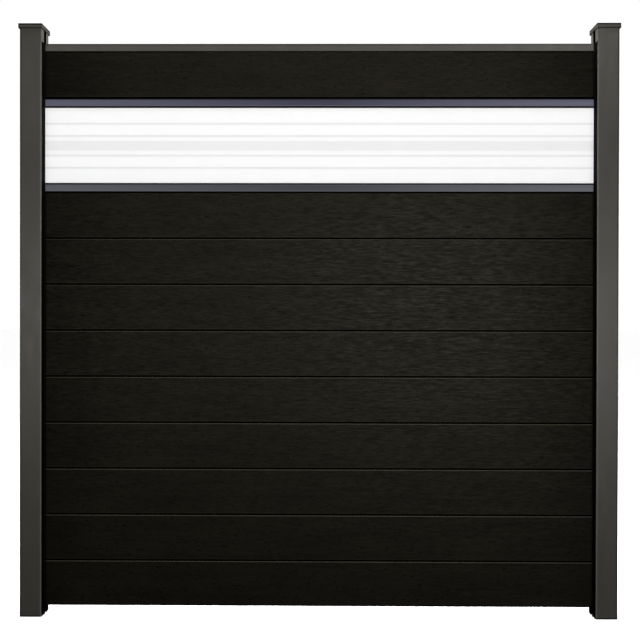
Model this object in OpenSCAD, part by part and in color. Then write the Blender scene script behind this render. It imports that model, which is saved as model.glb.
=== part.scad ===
// Bay of a privacy fence: hollow composite boards and a glass insert stacked
// between two grooved aluminium posts, with rubber seals along their ends.
//
// The origin is at the middle of the left post's foot. +X runs along the fence
// to the right post, +Y runs from the front face to the back, +Z is up.
// The bay is the same seen from the front and from the back.

/* [Bay] */
// Distance between the centre lines of the two posts
bay_pitch = 1862; // [1200:1:2400]
// Height of the lowest board's bottom edge above the feet of the posts
ground_gap = 30; // [20:1:100]
// Boards under the glass insert
lower_boards = 9; // [1:1:12]

/* [Posts] */
// Side of the square post
post_w = 70; // [66:1:100]
// Wall of the post's outer skin and of its grooves
post_wall = 2; // [1.5:0.1:2.5]
// Radius of the post's outer corners
post_corner_r = 3; // [3:0.5:5]
// Depth of the groove in each side of the post
groove_depth = 20; // [14:1:24]
// Height of the post's end above the top rail
post_rise = 54; // [20:0.5:300]
// Outer radius of the screw ports in the post's corners
port_r = 3.8; // [3.2:0.1:4.4]
// Radius of the screw holes in the ports
port_hole_r = 2.1; // [1.5:0.1:2.4]

/* [Post caps] */
// How far the cap stands out past each face of the post
cap_overhang = 4; // [3:0.5:12]
// Height of the cap, from the foot of its skirt to its top
cap_h = 15; // [12:0.5:40]
// Thickness of the cap's top plate
cap_plate = 3; // [2:0.5:8]
// Chamfer along the cap's top edges
cap_chamfer = 1.5; // [0.5:0.5:2]
// Depth of the cap's legs below its plate
leg_h = 22; // [10:1:60]

/* [Boards] */
// Thickness of a board
board_t = 20; // [16:1:30]
// Height from one board's bottom edge to the next
board_pitch = 150; // [120:1:200]
// Open joint between the faces of two boards
board_reveal = 4; // [1:0.5:8]
// Chamfer along the upper edges of a board's faces
shoulder_chamfer = 1.5; // [0.5:0.1:2.5]
// Chamfer along the lower edges of a board's faces
skirt_chamfer = 1; // [0.5:0.1:2]
// Thickness of the tongue along a board's upper edge
tongue_t = 10; // [6:0.5:10]
// How far a tongue goes into the piece above it
tongue_grip = 8; // [5:0.5:10]
// Walls around the hollow chambers of a board
board_wall = 4.5; // [3:0.1:5.5]
// Hollow chambers in a board
chambers = 6; // [1:1:10]

/* [Rails and glass] */
// Height of the rail along the top of the bay
top_rail_h = 24; // [18:0.5:60]
// Height of the rails above and below the glass
insert_rail_h = 25; // [22:0.5:50]
// Wall of the aluminium rails
rail_wall = 2; // [1.5:0.1:2.5]
// Radius of the rails' long edges
rail_edge_r = 1; // [0.5:0.1:1.5]
// Height of glass in sight between the gaskets
glass_sight_h = 245; // [100:1:600]
// Thickness of the glass
glass_t = 6; // [4:1:8]
// How far the glass goes into its gaskets
glass_grip = 8; // [5:0.5:8]
// Depth of the channels that hold the gaskets
glazing_depth = 12; // [11:0.5:14]
// Height of gasket in sight along the glass
gasket_lip_h = 4; // [2:0.5:8]

/* [Side seals] */
// How far a seal reaches from the post over the ends of the boards
seal_reach = 4.5; // [3:0.5:8]
// Thickness of a seal's flange on the side of the post
seal_t = 1.5; // [1:0.1:2]
// Thickness of a seal's lip at its heel
seal_heel = 3; // [2:0.5:5]
// Thickness of a seal's lip at its tip
seal_tip = 1; // [0.5:0.1:2]

/* [Clearances] */
// Play between a board's face and the side of the post's groove
groove_play = 0.5; // [0.2:0.1:0.9]
// Gap between the end of a board or rail and the floor of the groove
end_gap = 2.5; // [1:0.5:6]
// Gap between the end of the glass and the floor of the groove
glass_end_gap = 5; // [2:0.5:8]
// Play on each side of a tongue
tongue_play = 0.3; // [0.1:0.1:0.5]
// Play between the cap and the post
cap_play = 0.3; // [0.1:0.1:0.5]

/* [Hidden] */
// Vertical stack
board_face_h = board_pitch - board_reveal;
insert_z = ground_gap + lower_boards * board_pitch;
insert_h = 2 * (insert_rail_h + gasket_lip_h) + glass_sight_h;
upper_rail_z = insert_z + insert_h - insert_rail_h;
top_board_z = insert_z + insert_h + board_reveal;
top_rail_z = top_board_z + board_pitch;
stack_h = top_rail_z + top_rail_h;
post_h = stack_h + post_rise;

// Post section
groove_w = board_t + 2 * groove_play;
cavity_w = post_w - 2 * post_wall;
cavity_corner_r = post_corner_r - post_wall;
port_overlap = 0.6;
port_inset = port_r - port_overlap;
port_slot_w = 1.6;

// Cap
cap_w = post_w + 2 * cap_overhang;
leg_w = 24;
leg_t = 2;

// Lengths along the fence
clear_w = bay_pitch - post_w;
infill_l = clear_w + 2 * (groove_depth - end_gap);
glass_l = clear_w + 2 * (groove_depth - glass_end_gap);
glass_h = glass_sight_h + 2 * (gasket_lip_h + glass_grip);

// Board section
tongue_h = board_reveal + tongue_grip;
tongue_groove_w = tongue_t + 2 * tongue_play;
tongue_chamfer = 1;
chamber_w = board_t - 2 * board_wall;
chamber_zone = board_face_h - tongue_grip - 2 * board_wall;
chamber_h = (chamber_zone - (chambers - 1) * board_wall) / chambers;

// Rail sections
glazing_wall = 3;
glazing_w = board_t - 2 * glazing_wall;
gasket_base = glazing_depth - glass_grip;
gasket_overlap = 1;
gasket_rim_h = 1;
gasket_tip_t = 1.5;
face_recess = 0.6;
face_band = 3.5;
seat_recess = 1.5;
arc_fn = 48;
cut = 1;

post_colour = "#4a4945";
cap_colour = "#3f3e3b";
rail_colour = "#4e4d48";
insert_colour = "#585766";
board_colour = "#1f1e19";
gasket_colour = "#25272b";
glass_colour = "#f4f6f5";

// Rectangle from its centre, with its corners rounded
module rounded_rect(w, h, r) {
    square([w - 2 * r, h], center = true);
    square([w, h - 2 * r], center = true);
    for (x = [-1, 1], y = [-1, 1])
        translate([x * (w / 2 - r), y * (h / 2 - r)]) circle(r, $fn = arc_fn);
}

// Carries a section drawn across (x) and up (y) along the fence, centred in the bay
module along_fence(length, z) {
    translate([(bay_pitch - length) / 2, 0, z])
        rotate([90, 0, 90]) linear_extrude(length) children();
}

// Places its children at the foot of one post: side 0 is the left one, 1 the right one
module at_post(side) {
    translate([side * bay_pitch, 0, 0]) mirror([side, 0, 0]) children();
}

// Outside of the two side grooves, grown by a wall
module groove_boxes(wall) {
    for (side = [-1, 1])
        translate([side * (post_w - groove_depth + cut - wall) / 2, 0])
            square([groove_depth + cut + wall, groove_w + 2 * wall], center = true);
}

// The corner ports that the cap's or a foot plate's screws go into
module port_places() {
    for (x = [-1, 1], y = [-1, 1])
        translate([x, y] * (cavity_w / 2 - port_inset))
            rotate(atan2(-y, -x)) children();
}

module post_section() {
    difference() {
        rounded_rect(post_w, post_w, post_corner_r);
        difference() {
            rounded_rect(cavity_w, cavity_w, cavity_corner_r);
            groove_boxes(post_wall);
            port_places() circle(port_r, $fn = arc_fn);
        }
        groove_boxes(0);
        port_places() {
            circle(port_hole_r, $fn = arc_fn);
            translate([0, -port_slot_w / 2]) square([port_r + cut, port_slot_w]);
        }
    }
}

module post(side) {
    color(post_colour) at_post(side) linear_extrude(post_h) post_section();
}

// Side view of the cap's outside: chamfered along the top
module cap_profile() {
    half = cap_w / 2;
    polygon([[-half, 0], [half, 0], [half, cap_h - cap_chamfer], [half - cap_chamfer, cap_h],
             [cap_chamfer - half, cap_h], [-half, cap_h - cap_chamfer]]);
}

module post_cap(side) {
    pocket_w = post_w + 2 * cap_play;
    leg_y = cavity_w / 2 - cap_play - leg_t;
    color(cap_colour) at_post(side) translate([0, 0, post_h - cap_h + cap_plate]) {
        difference() {
            intersection() {
                linear_extrude(cap_h) rounded_rect(cap_w, cap_w, post_corner_r);
                rotate([90, 0, 0]) linear_extrude(cap_w, center = true) cap_profile();
                rotate([90, 0, 90]) linear_extrude(cap_w, center = true) cap_profile();
            }
            translate([0, 0, -cut]) linear_extrude(cap_h - cap_plate + cut)
                rounded_rect(pocket_w, pocket_w, post_corner_r + cap_play);
        }
        for (face = [0, 1]) mirror([0, face, 0])
            translate([-leg_w / 2, leg_y, cap_h - cap_plate - leg_h])
                cube([leg_w, leg_t, leg_h + cap_plate / 2]);
    }
}

// Block in the foot of the groove that carries the lowest board
module board_spacer(side) {
    color(gasket_colour) at_post(side)
        translate([post_w / 2 - groove_depth, -board_t / 2, 0])
            cube([groove_depth - seat_recess, board_t, ground_gap]);
}

// L of rubber in the corner between the post's side and the face of the boards:
// face 0 is the front one, 1 the back one
module side_seal(side, face) {
    flange_w = post_w / 2 - post_corner_r - board_t / 2;
    color(gasket_colour) at_post(side) mirror([0, 1 - face, 0])
        translate([post_w / 2, board_t / 2, 0]) linear_extrude(stack_h)
            polygon([[0, 0], [seal_reach, 0], [seal_reach, seal_tip], [seal_t, seal_heel],
                     [seal_t, flange_w - seal_t], [0, flange_w]]);
}

// Board section from its lower edge up: grooved skirt, chambers, shoulders, tongue
module board_section() {
    half = board_t / 2;
    groove = tongue_groove_w / 2;
    tongue = tongue_t / 2;
    top = board_face_h + tongue_h;
    right = [
        [groove, 0], [half - skirt_chamfer, 0], [half, skirt_chamfer],
        [half, board_face_h - shoulder_chamfer], [half - shoulder_chamfer, board_face_h],
        [tongue, board_face_h], [tongue, top - tongue_chamfer], [tongue - tongue_chamfer, top]];
    left = [for (i = [len(right) - 1 : -1 : 0]) [-right[i].x, right[i].y]];
    difference() {
        polygon(concat(right, left, [[-groove, tongue_grip], [groove, tongue_grip]]));
        for (i = [0 : chambers - 1])
            translate([-chamber_w / 2, tongue_grip + board_wall + i * (chamber_h + board_wall)])
                square([chamber_w, chamber_h]);
    }
}

module board(z) {
    color(board_colour) along_fence(infill_l, z) board_section();
}

module lower_board(number) {
    board(ground_gap + (number - 1) * board_pitch);
}

// Channel in a rail's lower edge for the tongue below it
module tongue_channel() {
    translate([-tongue_groove_w / 2, -cut]) square([tongue_groove_w, tongue_grip + cut]);
}

module top_rail() {
    chamber_z = tongue_grip + rail_wall;
    color(rail_colour) along_fence(infill_l, top_rail_z) difference() {
        translate([0, top_rail_h / 2]) rounded_rect(board_t, top_rail_h, rail_edge_r);
        tongue_channel();
        translate([rail_wall - board_t / 2, chamber_z])
            square([board_t - 2 * rail_wall, top_rail_h - chamber_z - rail_wall]);
    }
}

// Body of an insert rail with its glazing channel at the top and a shallow band in each face
module insert_rail_body() {
    band_h = insert_rail_h - 2 * face_band;
    difference() {
        translate([0, insert_rail_h / 2]) rounded_rect(board_t, insert_rail_h, rail_edge_r);
        translate([-glazing_w / 2, insert_rail_h - glazing_depth])
            square([glazing_w, glazing_depth + cut]);
        for (face = [-1, 1])
            translate([face * board_t / 2, insert_rail_h / 2])
                square([2 * face_recess, band_h], center = true);
    }
}

module insert_lower_rail() {
    color(insert_colour) along_fence(infill_l, insert_z) difference() {
        insert_rail_body();
        tongue_channel();
    }
}

module insert_upper_rail() {
    chamber_h = insert_rail_h - glazing_depth - 2 * rail_wall;
    color(insert_colour) along_fence(infill_l, upper_rail_z) {
        difference() {
            translate([0, insert_rail_h]) mirror([0, 1]) insert_rail_body();
            translate([rail_wall - board_t / 2, glazing_depth + rail_wall])
                square([board_t - 2 * rail_wall, chamber_h]);
        }
        translate([-tongue_t / 2, insert_rail_h - rail_wall / 2])
            square([tongue_t, tongue_h + rail_wall / 2]);
    }
}

// U of rubber around the edge of the glass, with its floor at zero
module gasket_section() {
    rim = glazing_w / 2 + gasket_overlap;
    top = glazing_depth + gasket_lip_h;
    right = [
        [glazing_w / 2, 0], [glazing_w / 2, glazing_depth], [rim, glazing_depth],
        [rim, glazing_depth + gasket_rim_h], [glass_t / 2 + gasket_tip_t, top],
        [glass_t / 2, top], [glass_t / 2, gasket_base]];
    left = [for (i = [len(right) - 1 : -1 : 0]) [-right[i].x, right[i].y]];
    polygon(concat(right, left));
}

module lower_glass_gasket() {
    color(gasket_colour)
        along_fence(infill_l, insert_z + insert_rail_h - glazing_depth) gasket_section();
}

module upper_glass_gasket() {
    color(gasket_colour) along_fence(infill_l, upper_rail_z + glazing_depth)
        mirror([0, 1]) gasket_section();
}

module glass_pane() {
    color(glass_colour) along_fence(glass_l, insert_z + insert_rail_h - glass_grip)
        translate([-glass_t / 2, 0]) square([glass_t, glass_h]);
}

post(0);  // left_post
post(1);  // right_post
post_cap(0);  // left_post_cap
post_cap(1);  // right_post_cap
board_spacer(0);  // left_board_spacer
board_spacer(1);  // right_board_spacer
top_rail();
board(top_board_z);  // top_board
insert_upper_rail();
insert_lower_rail();
upper_glass_gasket();
lower_glass_gasket();
glass_pane();
side_seal(0, 0);  // left_front_seal
side_seal(0, 1);  // left_back_seal
side_seal(1, 0);  // right_front_seal
side_seal(1, 1);  // right_back_seal
for (i = [1 : lower_boards])
    lower_board(i);
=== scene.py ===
# Privacy fence bay: brushed composite boards and a striped satin glass between two powder-coated posts.
import math

import bmesh
import bpy
import numpy as np
from mathutils import Matrix, Vector
from mathutils.geometry import tessellate_polygon


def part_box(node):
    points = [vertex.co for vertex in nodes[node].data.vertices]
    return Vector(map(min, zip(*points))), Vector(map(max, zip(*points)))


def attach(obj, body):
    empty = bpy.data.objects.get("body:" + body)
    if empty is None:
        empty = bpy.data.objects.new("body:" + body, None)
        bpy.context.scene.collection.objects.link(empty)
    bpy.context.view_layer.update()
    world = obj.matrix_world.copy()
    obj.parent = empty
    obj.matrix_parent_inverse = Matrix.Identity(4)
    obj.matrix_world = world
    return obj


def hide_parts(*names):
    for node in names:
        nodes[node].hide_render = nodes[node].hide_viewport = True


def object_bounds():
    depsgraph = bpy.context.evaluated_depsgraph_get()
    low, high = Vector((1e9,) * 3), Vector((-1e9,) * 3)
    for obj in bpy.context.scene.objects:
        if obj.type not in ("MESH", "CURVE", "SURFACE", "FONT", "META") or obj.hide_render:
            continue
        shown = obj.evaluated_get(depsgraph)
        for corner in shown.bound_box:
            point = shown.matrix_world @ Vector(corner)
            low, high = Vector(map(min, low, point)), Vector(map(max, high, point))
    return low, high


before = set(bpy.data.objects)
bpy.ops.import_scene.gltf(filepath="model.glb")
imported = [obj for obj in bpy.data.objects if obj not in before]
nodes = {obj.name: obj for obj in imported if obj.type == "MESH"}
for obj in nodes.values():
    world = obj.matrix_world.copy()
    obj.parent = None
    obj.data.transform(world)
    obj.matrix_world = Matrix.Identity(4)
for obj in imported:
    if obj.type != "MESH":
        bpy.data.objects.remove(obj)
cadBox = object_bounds()
middle = (cadBox[0] + cadBox[1]) / 2
mm = 0.001
print("frame loaded,", len(nodes), "CAD nodes")

scene = bpy.context.scene
scene.view_settings.view_transform = "Standard"


def linearColour(code):
    # sRGB hex to the linear numbers that a colour socket takes
    parts = [int(code[i:i + 2], 16) / 255 for i in (1, 3, 5)]
    return [p / 12.92 if p <= 0.04045 else ((p + 0.055) / 1.055) ** 2.4 for p in parts] + [1.0]


def addNode(tree, kind, inputs=None, **settings):
    # one node with its settings; each input is a plain value or another node's output
    node = tree.nodes.new(kind)
    for name, value in settings.items():
        setattr(node, name, value)
    for name, value in (inputs or {}).items():
        if isinstance(value, bpy.types.NodeSocket):
            tree.links.new(value, node.inputs[name])
        else:
            node.inputs[name].default_value = value
    return node


def newMaterial(name, even):
    # a material with its Object coordinates, and a shader with the numbers that are even all over it
    material = bpy.data.materials.new(name)
    material.use_nodes = True
    tree = material.node_tree
    tree.nodes.clear()
    place = addNode(tree, "ShaderNodeTexCoord").outputs["Object"]
    shader = addNode(tree, "ShaderNodeBsdfPrincipled", even)
    addNode(tree, "ShaderNodeOutputMaterial", {"Surface": shader.outputs["BSDF"]})
    return material, tree, place, shader


def cellsOf(x, y, z):
    # Mapping scale that makes one noise cell this many millimetres long each way
    return [1 / (side * mm) for side in (x, y, z)]


noiseSpread = {"From Min": 0.3, "From Max": 0.7}    # nearly all of a noise lies between these


def measuresOf(tree, place):
    # how far a point lies aside from the bay's middle, how deep from its plane, and how far up
    axes = addNode(tree, "ShaderNodeSeparateXYZ", {"Vector": place}).outputs
    fromMiddle = addNode(tree, "ShaderNodeMath", {0: axes["X"], 1: middle.x}, operation="SUBTRACT")
    aside = addNode(tree, "ShaderNodeMath", {0: fromMiddle.outputs[0]}, operation="ABSOLUTE")
    deep = addNode(tree, "ShaderNodeMath", {0: axes["Y"]}, operation="ABSOLUTE")
    return {"aside": aside.outputs[0], "deep": deep.outputs[0], "up": axes["Z"]}


def rimmed(tree, shader, measures, colour, rims):
    # Each rim's tone over the colour; its share grows from start to full along every way that it names.
    # A rim without a tone is a shadow that swallows reflections too: black taken as a metal gives none back
    shadow = 0.0
    for rim in rims:
        share = rim["share"]
        for way, (start, full) in rim["where"].items():
            reach = addNode(tree, "ShaderNodeMapRange",
                            {"Value": measures[way], "From Min": start, "From Max": full}).outputs["Result"]
            share = addNode(tree, "ShaderNodeMath", {0: share, 1: reach}, operation="MULTIPLY").outputs[0]
        if "tone" in rim:
            colour = addNode(tree, "ShaderNodeMix", {0: share, 6: colour, 7: linearColour(rim["tone"])},
                             data_type="RGBA").outputs[2]
        else:
            shadow = addNode(tree, "ShaderNodeMath", {0: shadow, 1: share}, operation="MAXIMUM").outputs[0]
    colour = addNode(tree, "ShaderNodeMix", {0: shadow, 6: colour, 7: linearColour("#000000")},
                     data_type="RGBA").outputs[2]
    tree.links.new(colour, shader.inputs["Base Color"])
    tree.links.new(shadow, shader.inputs["Metallic"])


# distances from the bay's middle to the sides of a post and of its cap, and the heights of edges
postIn, postOut = [corner.x - middle.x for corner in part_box("right_post")]
capIn, capOut = [corner.x - middle.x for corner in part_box("right_post_cap")]
capSkirt = 12 * mm      # how far a cap reaches down its post
barTongue = 12 * mm     # the upper glazing bar's tongue, hidden in the board over it
capFoot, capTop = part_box("right_post")[1].z - capSkirt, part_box("right_post_cap")[1].z
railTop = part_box("top_rail")[1].z
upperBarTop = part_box("insert_upper_rail")[1].z - barTongue
lowerBarFoot, lowerBarTop = [corner.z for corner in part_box("insert_lower_rail")]

postCoat = {
    "colour": "#5c5953", "patch": "#535049", "roughness": 0.34,
    "rims": [
        # painted shade: the post grows darker towards its foot, where less light reaches
        {"tone": "#504d48", "share": 1.0, "where": {"up": (0.70, 0.10)}},
        # painted highlight on the inner corners, which catch the light, and painted shade on the outer
        # corners
        {"tone": "#8d8981", "share": 0.42,
         "where": {"aside": (postIn + 4.4 * mm, postIn + 3.0 * mm), "deep": (31.2 * mm, 32.4 * mm),
                   "up": (railTop, railTop - 20 * mm)}},
        {"share": 0.38,
         "where": {"aside": (postOut - 6.8 * mm, postOut - 5.6 * mm), "deep": (31.4 * mm, 32.6 * mm)}},
        # painted light: the post's inner side faces made paler, as if lit from across the bay
        {"tone": "#a5a199", "share": 0.3, "where": {"aside": (postIn + 0.9 * mm, postIn + 0.4 * mm)}},
        # painted shade: black along the foot and inside the grooves that hold the boards
        {"share": 0.95, "where": {"up": (4.4 * mm, 3.2 * mm)}},
        {"share": 0.97, "where": {"deep": (11.0 * mm, 10.7 * mm)}},
    ],
}
# painted shade along the cap's top edges, which would catch the light from above
capEdgeShade = {"share": 0.9}
capRise = {"up": (capTop - 5.6 * mm, capTop - 4.6 * mm)}
capCoat = {
    "colour": "#5d5a53", "patch": "#54514b", "roughness": 0.42,
    "rims": [
        {**capEdgeShade, "where": {**capRise, "deep": (36.6 * mm, 37.4 * mm)}},
        {**capEdgeShade, "where": {**capRise, "aside": (capOut - 2.4 * mm, capOut - 1.6 * mm)}},
        {**capEdgeShade, "where": {**capRise, "aside": (capIn + 2.4 * mm, capIn + 1.6 * mm)}},
        # painted shade along the cap's lower edge and on its outer corner
        {"share": 0.5, "where": {"up": (capFoot + 2.8 * mm, capFoot + 1.8 * mm)}},
        {"share": 0.4,
         "where": {"aside": (capOut - 5.0 * mm, capOut - 4.0 * mm), "deep": (36.6 * mm, 37.4 * mm)}},
    ],
}
railCoat = {
    "colour": "#6a675f", "patch": "#605d56", "roughness": 0.33,
    "rims": [
        # painted shade: a darker band along the rail's upper edge
        {"share": 0.28,
         "where": {"up": (railTop - 7.0 * mm, railTop - 5.8 * mm), "deep": (8.0 * mm, 8.8 * mm)}},
    ],
}


coatGrain = {
    "patches": (160, 160, 420), "rub": (30, 30, 120), "rubGloss": (-0.05, 0.06),
    "grit": (1.2, 1.2, 1.2), "gritDeep": 0.2 * mm,      # real grit is 0.2 mm wide, drawn coarser to show
}


def powderCoatedAluminium(name, coat):
    # Polyester powder coat on extruded aluminium: a satin warm grey with a fine grit that dulls highlights
    material, tree, place, shader = newMaterial(name, {"IOR": 1.5})
    cells = addNode(tree, "ShaderNodeMapping", {"Vector": place, "Scale": cellsOf(*coatGrain["patches"])})
    patches = addNode(tree, "ShaderNodeTexNoise",
                      {"Vector": cells.outputs["Vector"], "Scale": 1.0, "Detail": 3.0}).outputs["Fac"]
    share = addNode(tree, "ShaderNodeMapRange", {"Value": patches, **noiseSpread}).outputs["Result"]
    colour = addNode(tree, "ShaderNodeMix",
                     {0: share, 6: linearColour(coat["colour"]), 7: linearColour(coat["patch"])},
                     data_type="RGBA").outputs[2]
    rimmed(tree, shader, measuresOf(tree, place), colour, coat["rims"])
    cells = addNode(tree, "ShaderNodeMapping", {"Vector": place, "Scale": cellsOf(*coatGrain["rub"])})
    rub = addNode(tree, "ShaderNodeTexNoise",
                  {"Vector": cells.outputs["Vector"], "Scale": 1.0, "Detail": 4.0}).outputs["Fac"]
    least, most = [coat["roughness"] + step for step in coatGrain["rubGloss"]]
    gloss = addNode(tree, "ShaderNodeMapRange",
                    {"Value": rub, **noiseSpread, "To Min": least, "To Max": most})
    tree.links.new(gloss.outputs["Result"], shader.inputs["Roughness"])
    cells = addNode(tree, "ShaderNodeMapping", {"Vector": place, "Scale": cellsOf(*coatGrain["grit"])})
    grit = addNode(tree, "ShaderNodeTexNoise",
                   {"Vector": cells.outputs["Vector"], "Scale": 1.0}).outputs["Fac"]
    bump = addNode(tree, "ShaderNodeBump",
                   {"Height": grit, "Strength": 0.15, "Distance": coatGrain["gritDeep"]})
    tree.links.new(bump.outputs["Normal"], shader.inputs["Normal"])
    return material


upperBar = {
    "middle": "#575669", "ends": "#86859c", "line": "#3a3a48", "roughness": 0.45,
    "rims": [
        # painted highlight on the raised edges; painted shade on the tongue, in the channel and at the joint
        # over it
        {"tone": "#83828f", "share": 0.6, "where": {"deep": (9.5 * mm, 9.9 * mm)}},
        {"share": 1.0, "where": {"deep": (8.9 * mm, 8.2 * mm)}},
        {"share": 0.95, "where": {"up": (upperBarTop - 4.0 * mm, upperBarTop - 3.0 * mm)}},
    ],
}
lowerBar = {
    "middle": "#595a62", "ends": "#84878f", "line": "#393a3e", "roughness": 0.45,
    "rims": [
        # painted highlight on the raised edges; painted shade on the tongue, in the channel and at the joints
        # by it
        {"tone": "#9496a0", "share": 0.6, "where": {"deep": (9.5 * mm, 9.9 * mm)}},
        {"share": 1.0, "where": {"deep": (8.9 * mm, 8.2 * mm)}},
        {"share": 0.95, "where": {"up": (lowerBarTop - 2.8 * mm, lowerBarTop - 2.0 * mm)}},
        {"share": 0.95, "where": {"up": (lowerBarFoot + 1.8 * mm, lowerBarFoot + 1.0 * mm)}},
    ],
}


# the lines are a real brushed grain; the last pair is where the painted reflection starts and grows full
barGrainAndEndLight = {"lines": (900, 2.2, 2.2), "lineShare": 0.12, "lineDeep": 0.2 * mm, "paintedEndLight": (0.05, 0.85)}


def lacqueredAluminium(name, bar):
    # Lacquered aluminium glazing bar: cool anthracite, a painted reflection paler to its ends, a painted
    # highlight on its raised edges; tongue, channel and joints painted black as shade, so a joint swallows
    # the light
    material, tree, place, shader = newMaterial(name, {"IOR": 1.5, "Specular IOR Level": 0.22})
    measures = measuresOf(tree, place)
    # painted reflection: the bar grows paler towards its ends
    start, full = barGrainAndEndLight["paintedEndLight"]
    away = addNode(tree, "ShaderNodeMapRange",
                   {"Value": measures["aside"], "From Min": start, "From Max": full})
    colour = addNode(tree, "ShaderNodeMix", {0: away.outputs["Result"], 6: linearColour(bar["middle"]),
                                             7: linearColour(bar["ends"])}, data_type="RGBA").outputs[2]
    cells = addNode(tree, "ShaderNodeMapping", {"Vector": place, "Scale": cellsOf(*barGrainAndEndLight["lines"])})
    lines = addNode(tree, "ShaderNodeTexNoise",
                    {"Vector": cells.outputs["Vector"], "Scale": 1.0}).outputs["Fac"]
    share = addNode(tree, "ShaderNodeMapRange", {"Value": lines, "From Min": 0.35, "From Max": 0.65,
                                                 "To Max": barGrainAndEndLight["lineShare"]}).outputs["Result"]
    colour = addNode(tree, "ShaderNodeMix", {0: share, 6: colour, 7: linearColour(bar["line"])},
                     data_type="RGBA").outputs[2]
    rimmed(tree, shader, measures, colour, bar["rims"])
    least, most = bar["roughness"] - 0.05, bar["roughness"] + 0.05
    gloss = addNode(tree, "ShaderNodeMapRange",
                    {"Value": lines, **noiseSpread, "To Min": least, "To Max": most})
    tree.links.new(gloss.outputs["Result"], shader.inputs["Roughness"])
    bump = addNode(tree, "ShaderNodeBump",
                   {"Height": lines, "Strength": 0.12, "Distance": barGrainAndEndLight["lineDeep"]})
    tree.links.new(bump.outputs["Normal"], shader.inputs["Normal"])
    return material


composite = {
    "dark": "#0a0907", "light": "#2a261d", "speck": "#030302", "roughness": 0.5,
    "sheen": 0.17, "sheenTint": (1.0, 0.94, 0.76, 1.0),
    "scratches": (32, 32, 4.4), "scratchDeep": 0.5 * mm, "clouds": (260, 260, 40), "pores": (14, 14, 4.5),
    "rims": [
        # painted highlights: paler shoulders under every joint of the lower stack, strongest low down where
        # the light is weaker, and fainter paler edges over each joint
        {"tone": "#4f4b40", "share": 0.75, "where": {"rise": (142.6 * mm, 143.6 * mm), "up": (1.36, 1.30)}},
        {"tone": "#6c6758", "share": 0.52, "where": {"rise": (142.6 * mm, 143.6 * mm), "up": (1.15, 0.35)}},
        {"tone": "#322f27", "share": 0.4, "where": {"rise": (4.6 * mm, 3.6 * mm)}},
        # painted shade: black in the joints and along the lowest edge, darker towards the board's ends and
        # the bottom, and a painted shadow of the posts beside the seals
        {"share": 0.95, "where": {"rise": (1.5 * mm, 0.9 * mm)}},
        {"share": 0.95, "where": {"rise": (145.0 * mm, 145.5 * mm)}},
        {"share": 0.95, "where": {"up": (34.6 * mm, 33.4 * mm)}},
        {"share": 0.36, "where": {"aside": (0.60, 0.90)}},
        {"share": 0.22, "where": {"up": (0.70, 0.10)}},
        {"share": 0.65, "where": {"aside": (0.872, 0.894)}},
    ],
}


def brushedComposite(name, wood):
    # Wood-plastic composite, wire-brushed along the board: near-black brown, with short lighter scratches,
    # dark pores and a warm dull sheen; its shoulders carry a painted highlight, and it is painted darker as
    # shade at its joints, towards its ends and towards the bottom
    material, tree, place, shader = newMaterial(name, {"IOR": 1.5, "Specular IOR Level": wood["sheen"],
                                                       "Specular Tint": wood["sheenTint"]})
    cells = addNode(tree, "ShaderNodeMapping", {"Vector": place, "Scale": cellsOf(*wood["scratches"])})
    scratches = addNode(tree, "ShaderNodeTexNoise", {"Vector": cells.outputs["Vector"], "Scale": 1.0,
                                                     "Detail": 3.0, "Roughness": 0.6}).outputs["Fac"]
    cells = addNode(tree, "ShaderNodeMapping", {"Vector": place, "Scale": cellsOf(*wood["clouds"])})
    clouds = addNode(tree, "ShaderNodeTexNoise",
                     {"Vector": cells.outputs["Vector"], "Scale": 1.0, "Detail": 3.0}).outputs["Fac"]
    fine = addNode(tree, "ShaderNodeMapRange", {"Value": scratches, **noiseSpread, "To Max": 0.5})
    broad = addNode(tree, "ShaderNodeMapRange",
                    {"Value": clouds, **noiseSpread, "To Min": 0.03, "To Max": 0.39})
    share = addNode(tree, "ShaderNodeMath", {0: fine.outputs["Result"], 1: broad.outputs["Result"]},
                    operation="ADD", use_clamp=True)
    colour = addNode(tree, "ShaderNodeMix", {0: share.outputs[0], 6: linearColour(wood["dark"]),
                                             7: linearColour(wood["light"])}, data_type="RGBA").outputs[2]
    cells = addNode(tree, "ShaderNodeMapping", {"Vector": place, "Scale": cellsOf(*wood["pores"])})
    pores = addNode(tree, "ShaderNodeTexNoise",
                    {"Vector": cells.outputs["Vector"], "Scale": 1.0, "Detail": 1.0}).outputs["Fac"]
    hit = addNode(tree, "ShaderNodeMapRange",
                  {"Value": pores, "From Min": 0.62, "From Max": 0.7}).outputs["Result"]
    colour = addNode(tree, "ShaderNodeMix", {0: hit, 6: colour, 7: linearColour(wood["speck"])},
                     data_type="RGBA").outputs[2]
    rise = addNode(tree, "ShaderNodeAttribute", attribute_name="rise").outputs["Fac"]
    measures = {**measuresOf(tree, place), "rise": rise}
    rimmed(tree, shader, measures, colour, wood["rims"])
    dullest, glossiest = wood["roughness"] + 0.14, wood["roughness"] - 0.1
    dull = addNode(tree, "ShaderNodeMapRange",
                   {"Value": scratches, **noiseSpread, "To Min": dullest, "To Max": glossiest})
    tree.links.new(dull.outputs["Result"], shader.inputs["Roughness"])
    bump = addNode(tree, "ShaderNodeBump",
                   {"Height": scratches, "Strength": 0.2, "Distance": wood["scratchDeep"]})
    tree.links.new(bump.outputs["Normal"], shader.inputs["Normal"])
    return material


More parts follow.
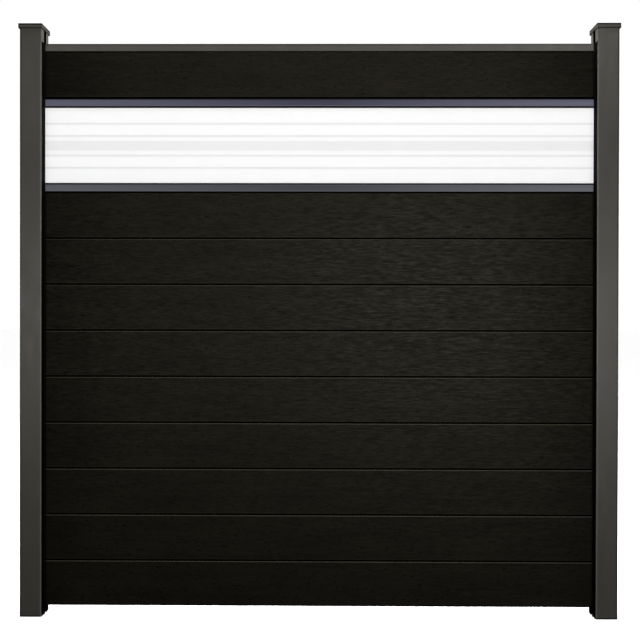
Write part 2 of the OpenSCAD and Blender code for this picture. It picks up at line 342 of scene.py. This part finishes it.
def sawnShadedComposite(name):
    # The unbrushed insides and sawn ends of a board: the same composite, dead matt and painted black as the
    # shade in the joints
    material, tree, place, shader = newMaterial(name, {"IOR": 1.5, "Specular IOR Level": 0.02,
                                                       "Roughness": 0.9})
    cells = addNode(tree, "ShaderNodeMapping", {"Vector": place, "Scale": cellsOf(6, 6, 2)})
    chips = addNode(tree, "ShaderNodeTexNoise",
                    {"Vector": cells.outputs["Vector"], "Scale": 1.0, "Detail": 3.0}).outputs["Fac"]
    colour = addNode(tree, "ShaderNodeMix", {0: chips, 6: linearColour("#010101"),
                                             7: linearColour("#050504")}, data_type="RGBA")
    tree.links.new(colour.outputs[2], shader.inputs["Base Color"])
    return material


def rubberSeal(name):
    # Extruded EPDM rubber: matt black with a faint bloom, darker than bare rubber as painted shade in the
    # corners where it sits
    material, tree, place, shader = newMaterial(name, {"IOR": 1.52, "Specular IOR Level": 0.05})
    cells = addNode(tree, "ShaderNodeMapping", {"Vector": place, "Scale": cellsOf(40, 20, 40)})
    bloom = addNode(tree, "ShaderNodeTexNoise",
                    {"Vector": cells.outputs["Vector"], "Scale": 1.0, "Detail": 3.0}).outputs["Fac"]
    colour = addNode(tree, "ShaderNodeMix", {0: bloom, 6: linearColour("#030303"),
                                             7: linearColour("#080809")}, data_type="RGBA")
    tree.links.new(colour.outputs[2], shader.inputs["Base Color"])
    dull = addNode(tree, "ShaderNodeMapRange", {"Value": bloom, **noiseSpread, "To Min": 0.6, "To Max": 0.75})
    tree.links.new(dull.outputs["Result"], shader.inputs["Roughness"])
    return material


def mouldedPolyethylene(name):
    # Moulded polyethylene blocks: dull black with a waxy sheen
    material, tree, place, shader = newMaterial(name, {"IOR": 1.51})
    cells = addNode(tree, "ShaderNodeMapping", {"Vector": place, "Scale": cellsOf(4, 4, 4)})
    skin = addNode(tree, "ShaderNodeTexNoise",
                   {"Vector": cells.outputs["Vector"], "Scale": 1.0, "Detail": 3.0}).outputs["Fac"]
    colour = addNode(tree, "ShaderNodeMix", {0: skin, 6: linearColour("#121212"),
                                             7: linearColour("#1e1e1f")}, data_type="RGBA")
    tree.links.new(colour.outputs[2], shader.inputs["Base Color"])
    dull = addNode(tree, "ShaderNodeMapRange", {"Value": skin, **noiseSpread, "To Min": 0.45, "To Max": 0.6})
    tree.links.new(dull.outputs["Result"], shader.inputs["Roughness"])
    return material


stripesUp = 133.5 * mm      # the band's middle above the pane's lower edge
stripes = {
    "plain": "#fbfbfb", "etched": "#ebebeb", "middle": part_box("glass_pane")[0].z + stripesUp,
    "band": 32 * mm, "bandShare": 0.65, "lines": (32 * mm, 72 * mm), "lineWidth": 6.5 * mm, "blur": 1 * mm,
}


def satinGlass(name, marks):
    # Satin-etched opal glass with a band and fine lines etched deeper: milky white that lets a fifth of the
    # light through, the stripes a shade greyer
    material, tree, place, shader = newMaterial(name, {"IOR": 1.52, "Roughness": 0.4,
                                                       "Transmission Weight": 0.2})
    up = addNode(tree, "ShaderNodeSeparateXYZ", {"Vector": place}).outputs["Z"]
    fromMiddle = addNode(tree, "ShaderNodeMath", {0: up, 1: marks["middle"]}, operation="SUBTRACT").outputs[0]
    off = addNode(tree, "ShaderNodeMath", {0: fromMiddle}, operation="ABSOLUTE").outputs[0]
    outer, inner = marks["band"] / 2 + marks["blur"], marks["band"] / 2 - marks["blur"]
    share = addNode(tree, "ShaderNodeMapRange", {"Value": off, "From Min": outer, "From Max": inner,
                                                 "To Max": marks["bandShare"]}).outputs["Result"]
    outer, inner = marks["lineWidth"] / 2 + marks["blur"], marks["lineWidth"] / 2 - marks["blur"]
    for line in marks["lines"]:
        past = addNode(tree, "ShaderNodeMath", {0: off, 1: line}, operation="SUBTRACT").outputs[0]
        gap = addNode(tree, "ShaderNodeMath", {0: past}, operation="ABSOLUTE").outputs[0]
        cut = addNode(tree, "ShaderNodeMapRange",
                      {"Value": gap, "From Min": outer, "From Max": inner}).outputs["Result"]
        share = addNode(tree, "ShaderNodeMath", {0: share, 1: cut}, operation="MAXIMUM").outputs[0]
    colour = addNode(tree, "ShaderNodeMix", {0: share, 6: linearColour(marks["plain"]),
                                             7: linearColour(marks["etched"])}, data_type="RGBA")
    tree.links.new(colour.outputs[2], shader.inputs["Base Color"])
    return material


# CAD nodes keep their shapes and take these finishes
posts = powderCoatedAluminium("powder coated aluminium, posts", postCoat)
caps = powderCoatedAluminium("powder coated aluminium, caps", capCoat)
rubber = rubberSeal("extruded rubber seal")
blocks = mouldedPolyethylene("moulded polyethylene")
finishes = {
    "left_post": posts, "right_post": posts, "left_post_cap": caps, "right_post_cap": caps,
    "top_rail": powderCoatedAluminium("powder coated aluminium, top rail", railCoat),
    "insert_upper_rail": lacqueredAluminium("lacquered aluminium, upper insert rail", upperBar),
    "insert_lower_rail": lacqueredAluminium("lacquered aluminium, lower insert rail", lowerBar),
    "upper_glass_gasket": rubber, "lower_glass_gasket": rubber,
    "left_front_seal": rubber, "left_back_seal": rubber,
    "right_front_seal": rubber, "right_back_seal": rubber,
    "left_board_spacer": blocks, "right_board_spacer": blocks,
    "glass_pane": satinGlass("satin etched glass", stripes),
}
for name, finish in finishes.items():
    nodes[name].data.materials.clear()
    nodes[name].data.materials.append(finish)
brushedSkin = brushedComposite("brushed wood composite", composite)
sawnShadedSkin = sawnShadedComposite("sawn wood composite in painted shade")
print("finishes made,", len(bpy.data.materials))

board = {
    "half": 10 * mm, "faceHeight": 146 * mm, "shoulder": 1.8 * mm, "skirt": 1.0 * mm,
    "tongueHalf": 5 * mm, "tongueTop": 158 * mm, "tongueEdge": 1 * mm,
    "grooveHalf": 5.3 * mm, "grooveDeep": 8 * mm,
    "chambers": 6, "chamberHalf": 5.5 * mm, "chamberHeight": 17.75 * mm, "wall": 4.5 * mm,
    "relief": 0.28 * mm, "rows": 48, "stations": 260,
    "grain": [(0.5, 110 * mm, 7.5 * mm), (0.3, 45 * mm, 4.8 * mm), (0.2, 22 * mm, 3.4 * mm)],
}


def latticeNoise(along, up, cellAlong, cellUp, seed):
    # Value noise: random heights on a lattice of cells, joined both ways by the smooth step 3t^2 - 2t^3
    u, v = along / cellAlong, up / cellUp
    i, j = np.floor(u).astype(int), np.floor(v).astype(int)
    i, j = i - i.min(), j - j.min()
    heights = np.random.default_rng(seed).random((i.max() + 2, j.max() + 2))
    s, t = u - np.floor(u), v - np.floor(v)
    s, t = s * s * (3 - 2 * s), t * t * (3 - 2 * t)
    low = heights[i, j] * (1 - s) + heights[i + 1, j] * s
    high = heights[i, j + 1] * (1 - s) + heights[i + 1, j + 1] * s
    return low * (1 - t) + high * t


def boardSection(b):
    # Closed line round the section (y, z), with quarter circles on the four outer edges,
    # and how much of the relief each point takes
    half, face, skirt, shoulder = b["half"], b["faceHeight"], b["skirt"], b["shoulder"]
    turn = np.linspace(0, np.pi / 2, 5)
    low = np.stack([half - skirt + skirt * np.sin(turn), skirt - skirt * np.cos(turn)], 1)
    rise = np.linspace(skirt, face - shoulder, b["rows"] + 1)[1:-1]
    side = np.stack([np.full(len(rise), half), rise], 1)
    high = np.stack([half - shoulder + shoulder * np.cos(turn), face - shoulder + shoulder * np.sin(turn)], 1)
    t, top, edge, g = b["tongueHalf"], b["tongueTop"], b["tongueEdge"], b["grooveHalf"]
    right = np.concatenate([[[g, 0]], low, side, high, [[t, face], [t, top - edge], [t - edge, top]]])
    takes = np.concatenate([np.zeros(6), np.ones(len(side)), np.zeros(8)])
    inner = np.array([[-g, b["grooveDeep"]], [g, b["grooveDeep"]]])
    return np.concatenate([right, right[::-1] * [-1, 1], inner]), np.concatenate([takes, takes[::-1], [0, 0]])


def brushedBoard(name, node, seed):
    # The section carried along X: a point of a face sinks by the relief times a weighted sum of lattice
    # noises of (x, z). Four long walls make each chamber, and the ends are the section less the chambers.
    lowest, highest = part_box(node)
    section, takes = boardSection(board)
    count, around = board["stations"] + 1, len(section)
    x, z = np.meshgrid(np.linspace(lowest.x, highest.x, count), section[:, 1], indexing="ij")
    side = np.sign(section[:, 0])
    depth = np.zeros((count, around))
    for face in (1, -1):
        for layer, (weight, cellAlong, cellUp) in enumerate(board["grain"]):
            noise = latticeNoise(x, z, cellAlong, cellUp, [seed, face + 1, layer])
            depth += np.where(side == face, weight * noise, 0) * takes * board["relief"]
    skin = np.stack([x, section[:, 0] - side * depth, z + lowest.z], 2).reshape(-1, 3)
    i, j = np.meshgrid(np.arange(count - 1), np.arange(around), indexing="ij")
    k = (j + 1) % around
    walls = np.stack([i * around + j, (i + 1) * around + j, (i + 1) * around + k, i * around + k], 2)
    walls = walls.reshape(-1, 4)
    outer = np.abs(section[:, 0]) > board["half"] - board["shoulder"] - 0.1 * mm
    brushed = np.tile(outer & np.roll(outer, -1), (count - 1, 1)).reshape(-1)
    points, faces = [skin], walls.tolist()
    w, h = board["chamberHalf"], board["chamberHeight"]
    loops = []
    for c in range(board["chambers"]):
        foot = lowest.z + board["grooveDeep"] + board["wall"] + c * (h + board["wall"])
        ring = np.array([[-w, foot], [w, foot], [w, foot + h], [-w, foot + h]])
        points.append(np.concatenate([np.insert(ring, 0, end, axis=1) for end in (lowest.x, highest.x)]))
        first = count * around + 8 * c
        faces += [[first + n, first + (n + 1) % 4, first + 4 + (n + 1) % 4, first + 4 + n] for n in range(4)]
        loops.append([first, first + 1, first + 2, first + 3])
    points = np.concatenate(points)
    for end in (0, 1):
        first = (count - 1) * around * end
        rings = [list(range(first, first + around))] + [[n + 4 * end for n in loop] for loop in loops]
        flat = [n for ring in rings for n in ring]
        faces += [[flat[n] for n in tri] for tri in tessellate_polygon([[Vector(points[n]) for n in ring]
                                                                        for ring in rings])]
    mesh = bpy.data.meshes.new(name)
    mesh.from_pydata(points.tolist(), [], faces)
    mesh.materials.append(brushedSkin)
    mesh.materials.append(sawnShadedSkin)
    slots = np.ones(len(faces), dtype=np.int32)
    slots[:len(walls)] = np.where(brushed, 0, 1)
    mesh.polygons.foreach_set("material_index", slots)
    mesh.attributes.new("rise", "FLOAT", "POINT").data.foreach_set("value", points[:, 2] - lowest.z)
    work = bmesh.new()
    work.from_mesh(mesh)
    bmesh.ops.recalc_face_normals(work, faces=work.faces)
    work.to_mesh(mesh)
    work.free()
    mesh.shade_smooth()
    mesh.set_sharp_from_angle(angle=math.radians(32))
    piece = bpy.data.objects.new(name, mesh)
    scene.collection.objects.link(piece)
    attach(piece, "root")
    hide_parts(node)


boardNodes = [name for name in nodes if "board" in name and "spacer" not in name]
for seed, node in enumerate(sorted(boardNodes)):
    brushedBoard("brushed_" + node, node, seed + 3)
print("boards made,", len(boardNodes))

studio = {"reach": 60.0, "light": "#fafafa", "shade": "#f6f6f6"}
turn = np.linspace(0, 2 * np.pi, 64, endpoint=False)
rim = np.stack([middle.x + studio["reach"] * np.cos(turn), studio["reach"] * np.sin(turn), 0 * turn], 1)
floorMesh = bpy.data.meshes.new("studio_floor")
floorMesh.from_pydata(rim.tolist(), [], [list(range(len(rim)))])
studioFloor = bpy.data.objects.new("studio_floor", floorMesh)
scene.collection.objects.link(studioFloor)
paint, tree, place, shader = newMaterial("pale studio floor", {"Roughness": 0.9, "Specular IOR Level": 0.1})
cells = addNode(tree, "ShaderNodeMapping", {"Vector": place, "Scale": cellsOf(400, 400, 400)})
mottle = addNode(tree, "ShaderNodeTexNoise", {"Vector": cells.outputs["Vector"], "Scale": 1.0, "Detail": 3.0})
colour = addNode(tree, "ShaderNodeMix", {0: mottle.outputs["Fac"], 6: linearColour(studio["shade"]),
                                         7: linearColour(studio["light"])}, data_type="RGBA")
tree.links.new(colour.outputs[2], shader.inputs["Base Color"])
floorMesh.materials.append(paint)
studioFloor.visible_diffuse = False
studioFloor.visible_glossy = False

# the room is white to look at and through the glass, and dim as a light, so that the soft boxes shape
# the pieces
room = {"seen": 1.05, "ambient": 0.03}
world = bpy.data.worlds.new("white studio")
scene.world = world
world.use_nodes = True
tree = world.node_tree
tree.nodes.clear()
ray = addNode(tree, "ShaderNodeLightPath").outputs
seen = addNode(tree, "ShaderNodeMath", {0: ray["Is Camera Ray"], 1: ray["Is Transmission Ray"]},
               operation="MAXIMUM")
dim = addNode(tree, "ShaderNodeBackground", {"Color": linearColour("#ffffff"), "Strength": room["ambient"]})
bright = addNode(tree, "ShaderNodeBackground", {"Color": linearColour("#ffffff"), "Strength": room["seen"]})
both = addNode(tree, "ShaderNodeMixShader", {0: seen.outputs[0], 1: dim.outputs[0], 2: bright.outputs[0]})
addNode(tree, "ShaderNodeOutputWorld", {"Surface": both.outputs[0]})
world.cycles.sampling_method = "NONE"

lights = {
    "front": {"at": (0.5, -4.2, 1.3), "aim": (0.4, 0.0, 1.2), "size": (1.8, 0.8), "power": 18},
    "sheen": {"at": (0.7, -3.2, 1.3), "aim": (0.4, 0.0, 1.2), "size": (0.8, 0.8), "power": 12},
    "left band": {"at": (-2.6, -6.0, 1.0), "aim": (-0.9, 0.0, 1.0), "size": (1.2, 0.4), "power": 23},
    "right band": {"at": (2.6, -6.0, 1.0), "aim": (0.9, 0.0, 1.0), "size": (1.2, 0.4), "power": 10},
    "low right": {"at": (1.7, -6.0, 0.4), "aim": (0.6, 0.0, 0.4), "size": (1.0, 0.6), "power": 22},
    "high left": {"at": (-2.6, -6.0, 3.4), "aim": (-0.9, 0.0, 1.6), "size": (1.0, 0.8), "power": 9},
    "high right": {"at": (2.5, -6.0, 4.1), "aim": (0.8, 0.0, 1.8), "size": (1.2, 0.7), "power": 19},
    "above": {"at": (0.0, 0.0, 3.4), "aim": (0.0, 0.0, 1.0), "size": (1.8, 1.0), "power": 60},
    "rear": {"at": (0.0, 5.0, 1.3), "aim": (0.0, 0.0, 1.1), "size": (3.0, 1.6), "power": 90},
    "rear sheen": {"at": (-0.5, 3.0, 1.3), "aim": (0.0, 0.0, 1.2), "size": (1.2, 0.8), "power": 18},
    "left side": {"at": (-3.6, 1.4, 1.2), "aim": (-0.93, 0.0, 1.0), "size": (1.0, 1.8), "power": 60},
    "right side": {"at": (3.6, 1.4, 1.2), "aim": (0.93, 0.0, 1.0), "size": (1.0, 1.8), "power": 60},
}


def softBox(name, box):
    # a rectangle of light; the camera and the pane don't see it
    lamp = bpy.data.lights.new(name, "AREA")
    lamp.shape = "RECTANGLE"
    lamp.size, lamp.size_y = box["size"]
    lamp.energy = box["power"]
    holder = bpy.data.objects.new(name, lamp)
    scene.collection.objects.link(holder)
    at, aim = [Vector(box[key]) + Vector((middle.x, 0, 0)) for key in ("at", "aim")]
    holder.matrix_world = Matrix.Translation(at) @ (aim - at).to_track_quat("-Z", "Y").to_matrix().to_4x4()
    holder.visible_camera = False
    holder.visible_transmission = False
    return holder


# the boxes light everything but the milky pane, which would glow
allButPane = bpy.data.collections.new("all but the pane")
allButPane.objects.link(nodes["glass_pane"])
allButPane.collection_objects[0].light_linking.link_state = "EXCLUDE"
for name, box in lights.items():
    softBox(name, box).light_linking.receiver_collection = allButPane

# even light that only the pane or only the floor receives; nearly all of it is shadowless, so that the pane
# stays milky up to its edges and the bay is grounded by a faint shadow
evenLights = {
    "floor light": {"on": studioFloor, "tilt": 0, "strength": 2.5, "shadow": False},
    "floor shade": {"on": studioFloor, "tilt": 0, "strength": 0.8, "shadow": True},
    "pane light, front": {"on": nodes["glass_pane"], "tilt": 50, "strength": 2.46, "shadow": False},
    "pane light, back": {"on": nodes["glass_pane"], "tilt": -50, "strength": 2.46, "shadow": False},
}
for name, even in evenLights.items():
    sun = bpy.data.objects.new(name, bpy.data.lights.new(name, "SUN"))
    scene.collection.objects.link(sun)
    sun.data.energy = even["strength"]
    sun.data.angle = math.radians(70)
    sun.data.use_shadow = even["shadow"]
    sun.matrix_world = Matrix.Rotation(math.radians(even["tilt"]), 4, "X")
    only = bpy.data.collections.new(name + " receivers")
    only.objects.link(even["on"])
    sun.light_linking.receiver_collection = only
print("studio lit,", len(lights), "soft boxes")

# the focal length is counted in steps of a picture this many steps wide
view = {"aside": 0.0247, "away": 2.6217, "height": 0.9746, "focal": 802.45, "wide": 640, "sensor": 36.0,
        "turns": (("Z", 0.427), ("X", -0.258), ("Y", -0.116), ("X", 90.0))}
camera = bpy.data.objects.new("camera", bpy.data.cameras.new("camera"))
scene.collection.objects.link(camera)
camera.data.sensor_width = view["sensor"]
camera.data.lens = view["focal"] / view["wide"] * view["sensor"]
camera.data.clip_end = 200
camera.matrix_world = Matrix.Translation((middle.x + view["aside"], -view["away"], view["height"]))
for axis, degrees in view["turns"]:
    camera.matrix_world @= Matrix.Rotation(math.radians(degrees), 4, axis)
scene.camera = camera
print("camera set")
